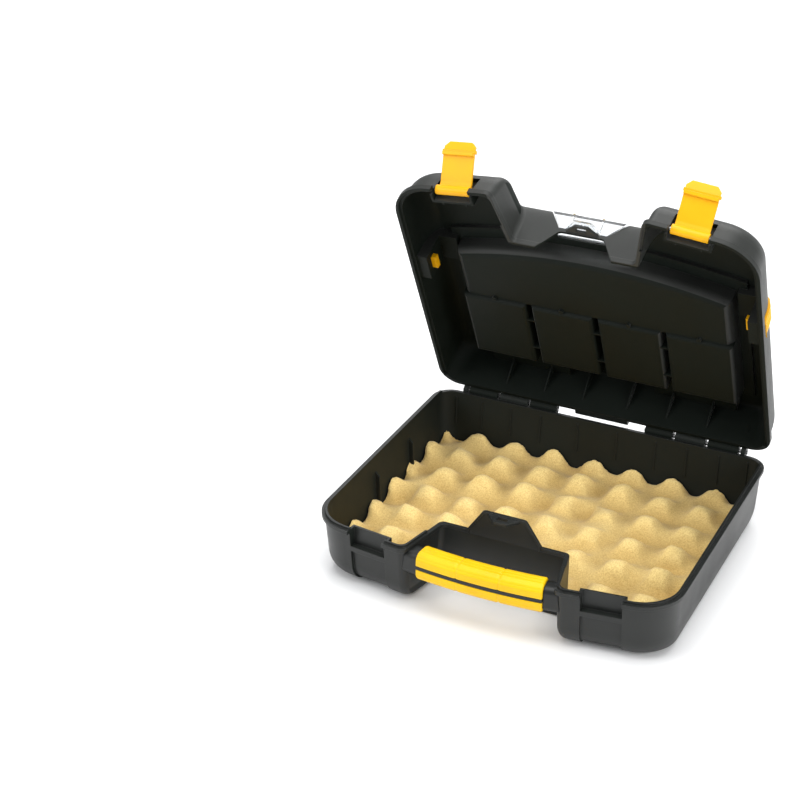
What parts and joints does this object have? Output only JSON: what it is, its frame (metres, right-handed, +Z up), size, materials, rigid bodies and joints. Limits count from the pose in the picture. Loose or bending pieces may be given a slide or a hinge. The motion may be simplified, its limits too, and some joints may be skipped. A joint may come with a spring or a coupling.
{
  "type": "drill case",
  "caption": "Hard plastic power-drill carry case with hinged lid, over-centre latches, bowed grip handle, foam bed and a clear-lidded organiser in the lid.",
  "frame": {"origin": "centre of the base's plan, on the flat underside it stands on", "axes": "+X along the hinge, -Y towards the handle, +Z up; lid stored open as pictured"},
  "size_m": [0.388, 0.3832, 0.413],
  "materials": {
    "black_plastic": "satin moulded grain",
    "yellow_plastic": "satin",
    "foam": "open-cell foam",
    "clear_plastic": "clear moulded plastic",
    "steel": "plain wire"
  },
  "bodies": {
    "base": {"base_shell": "black_plastic", "handle_bar": "black_plastic", "grip_upper": "yellow_plastic", "grip_lower": "yellow_plastic", "foam_pad": "foam", "hinge_pin_left": "steel", "hinge_pin_right": "steel"},
    "lid": {"lid_shell": "black_plastic", "latch_pin_left": "steel", "latch_pin_right": "steel"},
    "latch_left": {"latch_left": "yellow_plastic"},
    "latch_right": {"latch_right": "yellow_plastic"},
    "organiser": {"organiser_lid": "clear_plastic", "organiser_rod_left": "clear_plastic", "organiser_rod_right": "clear_plastic", "clip_pin_left": "clear_plastic", "clip_pin_right": "clear_plastic"},
    "clip_left": {"side_clip_left": "yellow_plastic"},
    "clip_right": {"side_clip_right": "yellow_plastic"}
  },
  "joints": [
    {"name": "lid_hinge", "type": "hinge", "parent": "base", "child": "lid", "pos_m": [0, 0.1735, 0.07], "axis": [-1, 0, 0], "range_deg": [-64.5, 44]},
    {"name": "latch_left_pivot", "type": "hinge", "parent": "lid", "child": "latch_left", "pos_m": [-0.12454, 0.04115, 0.36839], "axis": [0.9921, -0.054, 0.1131], "range_deg": [0, 138]},
    {"name": "latch_right_pivot", "type": "hinge", "parent": "lid", "child": "latch_right", "pos_m": [0.12454, 0.04115, 0.36839], "axis": [0.9921, 0.054, -0.1131], "range_deg": [0, 138]},
    {"name": "organiser_hinge", "type": "hinge", "parent": "lid", "child": "organiser", "pos_m": [0, 0.20761, 0.11231], "axis": [-1, 0, 0], "range_deg": [0, 95]},
    {"name": "clip_left_pivot", "type": "hinge", "parent": "organiser", "child": "clip_left", "pos_m": [-0.172, 0.14258, 0.24748], "axis": [0, 0.4305, -0.9026], "range_deg": [0, 80]},
    {"name": "clip_right_pivot", "type": "hinge", "parent": "organiser", "child": "clip_right", "pos_m": [0.172, 0.14258, 0.24748], "axis": [0, -0.4305, 0.9026], "range_deg": [0, 80]}
  ]
}
